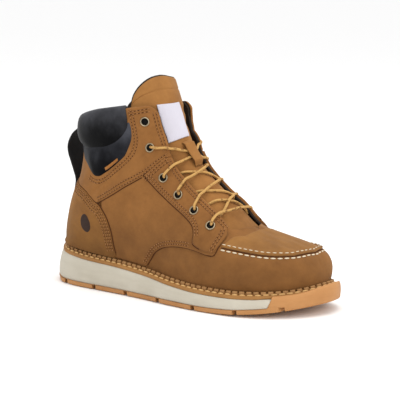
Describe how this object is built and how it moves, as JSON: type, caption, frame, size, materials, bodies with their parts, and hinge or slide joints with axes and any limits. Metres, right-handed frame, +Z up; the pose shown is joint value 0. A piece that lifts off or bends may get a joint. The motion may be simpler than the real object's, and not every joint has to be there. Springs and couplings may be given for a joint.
{
  "type": "work boot",
  "caption": "Right mid-height work boot with moc toe, layered wedge sole, welt with upright rib, padded collar, laced front and heel pull loop, standing empty",
  "frame": {"origin": "On the ground under the middle of the sole's length and width", "axes": "+X to the toe, +Y to the inner side, +Z up. The outer side, seen in the picture, faces -Y"},
  "size_m": [0.2995, 0.1084, 0.2008],
  "materials": {
    "gum_rubber": "matte gum rubber",
    "cream_foam": "matte moulded foam rubber",
    "welt_rubber": "matte",
    "insole_fabric": "woven",
    "nubuck": "brushed nap",
    "collar_leather": "smooth, satin",
    "tongue_leather": "brushed nap",
    "label_fabric": "woven, bare",
    "loop_webbing": "woven webbing",
    "eyelet_brass": "aged, satin",
    "lace_cord": "round braided"
  },
  "bodies": {
    "root": {"outsole": "gum_rubber", "midsole": "cream_foam", "welt": "welt_rubber", "insole": "insole_fabric", "upper": "nubuck", "counter": "nubuck", "apron": "nubuck", "quarter_outer": "nubuck", "quarter_inner": "nubuck", "eyestay_outer": "nubuck", "eyestay_inner": "nubuck", "collar_roll": "collar_leather", "collar_pad_outer": "collar_leather", "collar_pad_inner": "collar_leather", "collar_tag": "nubuck", "tongue": "tongue_leather", "tongue_label": "label_fabric", "lace_keeper": "tongue_leather", "pull_loop": "loop_webbing", "eyelet_outer_1": "eyelet_brass", "eyelet_outer_2": "eyelet_brass", "eyelet_outer_3": "eyelet_brass", "eyelet_outer_4": "eyelet_brass", "eyelet_outer_5": "eyelet_brass", "eyelet_outer_6": "eyelet_brass", "eyelet_inner_1": "eyelet_brass", "eyelet_inner_2": "eyelet_brass", "eyelet_inner_3": "eyelet_brass", "eyelet_inner_4": "eyelet_brass", "eyelet_inner_5": "eyelet_brass", "eyelet_inner_6": "eyelet_brass", "lace_bottom_bar": "lace_cord", "lace_cross_low": "lace_cord", "lace_cross_middle": "lace_cord", "lace_cross_high": "lace_cord", "lace_kept_low": "lace_cord", "lace_kept_high": "lace_cord"}
  },
  "joints": []
}
